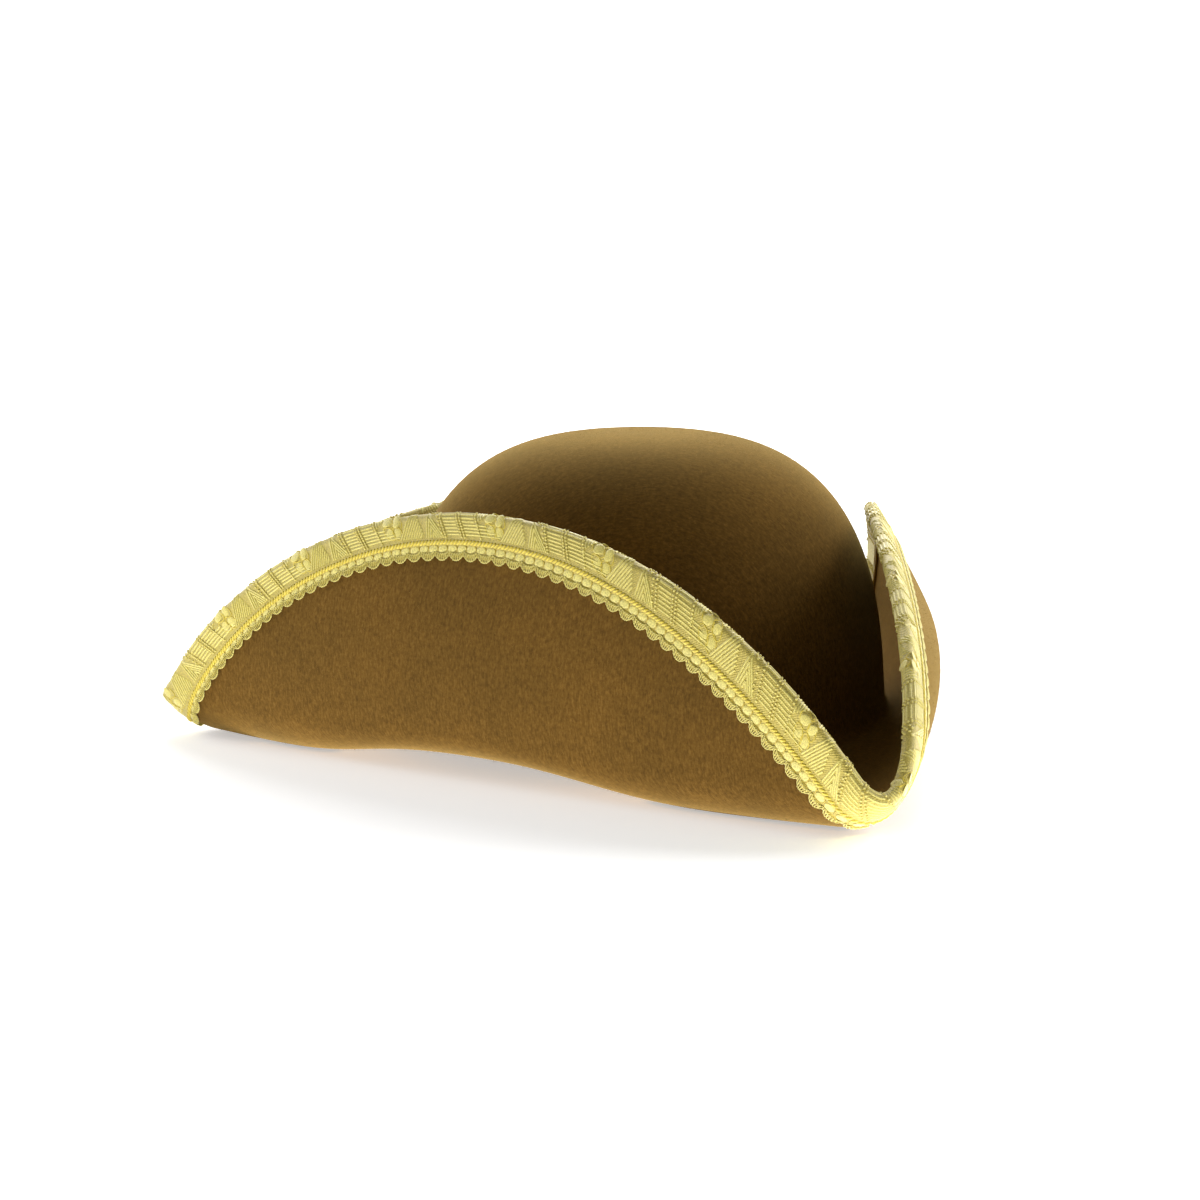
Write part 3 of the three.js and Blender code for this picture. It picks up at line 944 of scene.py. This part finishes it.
# Felt nap: broad mottling, a fine mix of fibres, and grain
def felt_material():
    material, tree, shader = new_material("felt")
    place_node = tree.nodes.new("ShaderNodeTexCoord")
    place_socket = place_node.outputs["Object"]
    mottle = noise(tree, place_socket, scale=28, detail=3, rough=0.55)
    fine = noise(tree, place_socket, scale=620, detail=4, rough=0.75)
    grain = noise(tree, place_socket, scale=1500, detail=2, rough=0.6)
    stretch = tree.nodes.new("ShaderNodeMapping")
    stretch.inputs["Rotation"].default_value = (0.5, 0.3, 0.7)
    stretch.inputs["Scale"].default_value = (1, 0.16, 0.16)
    tree.links.new(place_socket, stretch.inputs["Vector"])
    fibres = noise(tree, stretch.outputs["Vector"], scale=2300, detail=3, rough=0.7)
    half_fine = math_node(tree, "MULTIPLY", fine, 0.5)
    half_fibres = math_node(tree, "MULTIPLY", fibres, 0.5)
    mix = math_node(tree, "ADD", half_fine, half_fibres)
    colour = ramp(tree, mix, [(0.3, FELT_DARK), (0.5, FELT_MIDDLE), (0.72, FELT_LIGHT)])
    shade = ramp(tree, mottle, [(0.3, (0.86, 0.86, 0.86)), (0.7, (1.08, 1.06, 1.02))])
    tree.links.new(multiply_colours(tree, colour, shade), shader.inputs["Base Color"])
    shader.inputs["Roughness"].default_value = 0.95
    shader.inputs["Specular IOR Level"].default_value = 0.04
    shader.inputs["Sheen Weight"].default_value = 0.45
    shader.inputs["Sheen Roughness"].default_value = 0.45
    shader.inputs["Sheen Tint"].default_value = (*FELT_SHEEN, 1)
    height = math_node(tree, "ADD", math_node(tree, "MULTIPLY", grain, 0.5), fibres)
    add_bump(tree, shader, height, distance=0.14 * MM, strength=0.6)
    return material


# Spun thread: small ups and downs of colour, and fine twist
def spun_thread():
    tree, group_in, group_out = shader_group(
        "spun_thread",
        [
            ("Vector", "NodeSocketVector", None),
            ("Color", "NodeSocketColor", (1, 1, 1, 1)),
            ("Grain", "NodeSocketFloat", 2600.0),
        ],
        [("Color", "NodeSocketColor"), ("Height", "NodeSocketFloat")],
    )
    grain = tree.nodes.new("ShaderNodeTexNoise")
    grain.inputs["Detail"].default_value = 3
    tree.links.new(group_in.outputs["Vector"], grain.inputs["Vector"])
    tree.links.new(group_in.outputs["Grain"], grain.inputs["Scale"])
    shade = ramp(tree, grain.outputs["Fac"], [(0.3, (0.62, 0.6, 0.5)), (0.62, (1.1, 1.1, 1.08))])
    colour = multiply_colours(tree, group_in.outputs["Color"], shade)
    tree.links.new(colour, group_out.inputs["Color"])
    tree.links.new(grain.outputs["Fac"], group_out.inputs["Height"])
    return tree


# Weave height of the ground, from the galloon's own map
def weave_height(tree):
    map_node = tree.nodes.new("ShaderNodeUVMap")
    map_node.uv_map = "weave"
    wave = tree.nodes.new("ShaderNodeTexWave")
    wave.bands_direction = "DIAGONAL"
    wave.inputs["Scale"].default_value = 620
    wave.inputs["Distortion"].default_value = 1.5
    wave.inputs["Detail"].default_value = 2
    tree.links.new(map_node.outputs["UV"], wave.inputs["Vector"])
    return wave.outputs["Fac"]


def thread_material(name, group, colour, roughness, grain, woven=False):
    material, tree, shader = new_material(name)
    place_node = tree.nodes.new("ShaderNodeTexCoord")
    thread = tree.nodes.new("ShaderNodeGroup")
    thread.node_tree = group
    thread.inputs["Color"].default_value = (*colour, 1)
    thread.inputs["Grain"].default_value = grain
    tree.links.new(place_node.outputs["Object"], thread.inputs["Vector"])
    tree.links.new(thread.outputs["Color"], shader.inputs["Base Color"])
    height = thread.outputs["Height"]
    if woven:
        height = math_node(tree, "ADD", height, weave_height(tree))
    add_bump(tree, shader, height, distance=0.15 * MM, strength=0.7)
    shader.inputs["Roughness"].default_value = roughness
    shader.inputs["Sheen Weight"].default_value = 0.25
    return material


felt = felt_material()
spun = spun_thread()
ground = thread_material("galloon_ground", spun, GROUND_GOLD, roughness=0.5, grain=1900, woven=True)
pale = thread_material("pale_thread", spun, THREAD_GOLD, roughness=0.42, grain=2600)
yellow = thread_material("yellow_cord", spun, CORD_YELLOW, roughness=0.5, grain=2400)
satin = thread_material("satin_thread", spun, SATIN_GOLD, roughness=0.42, grain=1500)
lace = thread_material("lace_thread", spun, FAN_GOLD, roughness=0.5, grain=2200)

hat, place = felt_piece(felt)
ribbon = ribbon_piece(place, ground)

beads = bead_tree()
loops = loop_tree()
laid = laid_tree()


def laid_piece(name, lines, row, finish):
    along, across = repeated(np.concatenate(lines))
    counts = [len(line) for line in lines] * REPEATS
    lift = GALLOON_THICKNESS - row["sunk"] * MM
    carrier = carrier_mesh(name + "_lines", along, across, lift, lines=counts)
    values = {"Thread Radius": row["radius"] * MM, "Sides": row["sides"], "Finish": finish}
    return grown_piece(name, carrier, laid, values)


def bead_piece(name, carrier, size, segments, rings, finish):
    values = {"Size": size, "Segments": segments, "Rings": rings, "Finish": finish}
    return grown_piece(name, carrier, beads, values)


def border_piece(name, row, finish):
    along = np.arange(row["count"]) / row["count"] * GALLOON_LENGTH + row["ahead"]
    across = np.full(row["count"], row["across"])
    carrier = carrier_mesh(name + "_spots", along, across, row["lift"], lean=row["lean"])
    return bead_piece(name, carrier, row["size"], row["segments"], row["rings"], finish)


def petal_piece():
    along, across = repeated([(petal["along"], petal["across"]) for petal in PETALS])
    lean = np.tile([radians(petal["turn"]) for petal in PETALS], REPEATS)
    lift = GALLOON_THICKNESS - PETAL_SINK * MM
    carrier = carrier_mesh("petal_spots", along, across, lift, lean=lean)
    size = (PETAL_LENGTH * MM, PETAL_WIDTH * MM, PETAL_HEIGHT * MM)
    return bead_piece("galloon_petals", carrier, size, segments=10, rings=6, finish=pale)


def bar_bead_piece():
    along, across = repeated(figure_beads())
    carrier = carrier_mesh("bead_spots", along, across, GALLOON_THICKNESS + BAR_BEAD_LIFT)
    return bead_piece("galloon_beads", carrier, BAR_BEAD_SIZE, segments=6, rings=4, finish=pale)


# Thread loops along each fan's rim, the outer ones set back and leaning away
def picot_piece():
    count = FANS["count"]
    fan_along = np.arange(count) / count * GALLOON_LENGTH
    middle = (LOOPS_IN_FAN - 1) / 2
    step = np.arange(LOOPS_IN_FAN) - middle
    along = (fan_along[:, None] + step[None, :] * LOOP_PITCH).reshape(-1)
    across = np.tile(PICOT_ROW - LOOP_SET_BACK * (np.abs(step) / middle) ** 3, count)
    carrier = carrier_mesh("picot_spots", along, across, LOOP_LIFT, lean=np.tile(step * LOOP_LEAN, count))
    values = {"Size": LOOP_SIZE, "Thread Radius": LOOP_THREAD, "Finish": pale}
    return grown_piece("galloon_picots", carrier, loops, values)


figure_lines = barb_lines() + long_slants() + top_slants() + short_slants() + chevron_lines()
galloon = [
    ribbon,
    laid_piece("galloon_ribs", window_lines(), RIB_THREADS, pale),
    laid_piece("galloon_figure", figure_lines, FIGURE_THREADS, pale),
    laid_piece("galloon_outlines", petal_outlines(), OUTLINE_THREADS, yellow),
    petal_piece(),
    bar_bead_piece(),
    border_piece("galloon_cord", STITCHES, yellow),
    border_piece("galloon_bobbles", BOBBLES, satin),
    border_piece("galloon_slit_threads", SLITS, lace),
    border_piece("galloon_fans", FANS, lace),
    picot_piece(),
]
fuzz = grown_piece("felt_fuzz", hat.data.copy(), fuzz_tree(), {
    "Density": FUZZ_PER_SQUARE_METRE,
    "Fibre Radius": FIBRE_RADIUS,
    "Fibre Length": FIBRE_LENGTH,
    "Seed": FUZZ_SEED,
    "Finish": felt,
})
for piece in (hat, fuzz):
    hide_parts("felt_body")
    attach(piece, "root")
for piece in galloon:
    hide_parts("edge_galloon")
    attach(piece, "root")


def make_camera(place):
    target = Vector(place) + Vector((0, 0, LOOK_AT_HEIGHT))
    back = Vector((
        np.sin(CAMERA_AZIMUTH) * np.cos(CAMERA_ELEVATION),
        -np.cos(CAMERA_AZIMUTH) * np.cos(CAMERA_ELEVATION),
        np.sin(CAMERA_ELEVATION),
    ))
    right = Vector((0, 0, 1)).cross(back).normalized()
    up = back.cross(right)
    level = Matrix((right, up, back)).transposed()
    data = bpy.data.cameras.new("camera")
    data.sensor_width = SENSOR_WIDTH
    data.lens = FOCAL_PIXELS / FRAME_PIXELS * SENSOR_WIDTH
    data.shift_x = -SHIFT_RIGHT / FRAME_PIXELS
    data.shift_y = SHIFT_UP / FRAME_PIXELS
    camera = bpy.data.objects.new("camera", data)
    bpy.context.scene.collection.objects.link(camera)
    turned = level @ Matrix.Rotation(CAMERA_ROLL, 3, "Z")
    camera.matrix_world = Matrix.Translation(target + back * CAMERA_DISTANCE) @ turned.to_4x4()
    bpy.context.scene.camera = camera


def make_sweep():
    profile = [(SWEEP_FRONT, 0.0)]
    for degrees in range(0, 91, 10):
        turn = radians(degrees)
        across = -SWEEP_BACK - SWEEP_RADIUS * np.sin(turn)
        profile.append((across, SWEEP_RADIUS * (1 - np.cos(turn))))
    profile.append((-SWEEP_BACK - SWEEP_RADIUS, SWEEP_TOP))
    points = [(x, side * SWEEP_HALF_WIDTH, z) for x, z in profile for side in (-1, 1)]
    faces = [(2 * k, 2 * k + 1, 2 * k + 3, 2 * k + 2) for k in range(len(profile) - 1)]
    material, _, shader = new_material("white_sweep")
    shader.inputs["Base Color"].default_value = (*SWEEP_WHITE, 1)
    shader.inputs["Roughness"].default_value = 0.95
    shader.inputs["Specular IOR Level"].default_value = 0.1
    shader.inputs["Emission Color"].default_value = (1, 1, 1, 1)
    shader.inputs["Emission Strength"].default_value = SWEEP_GLOW
    mesh_piece("sweep", np.array(points), faces, material)


def area_light(name, spot, aim, size, power):
    data = bpy.data.lights.new(name, "AREA")
    data.shape = "ELLIPSE"
    data.size, data.size_y = size
    data.energy = power
    lamp = bpy.data.objects.new(name, data)
    bpy.context.scene.collection.objects.link(lamp)
    lamp.location = spot
    lamp.rotation_euler = (Vector(aim) - Vector(spot)).to_track_quat("-Z", "Y").to_euler()
    lamp.visible_camera = False


def make_world():
    world = bpy.data.worlds.new("studio")
    bpy.context.scene.world = world
    world.use_nodes = True
    background = world.node_tree.nodes["Background"]
    background.inputs["Color"].default_value = (1, 1, 1, 1)
    background.inputs["Strength"].default_value = WORLD_GLOW


make_camera(place)
make_sweep()
for light in LIGHTS:
    area_light(**light)
make_world()
bpy.context.scene.view_settings.view_transform = "Standard"

bpy.context.view_layer.update()
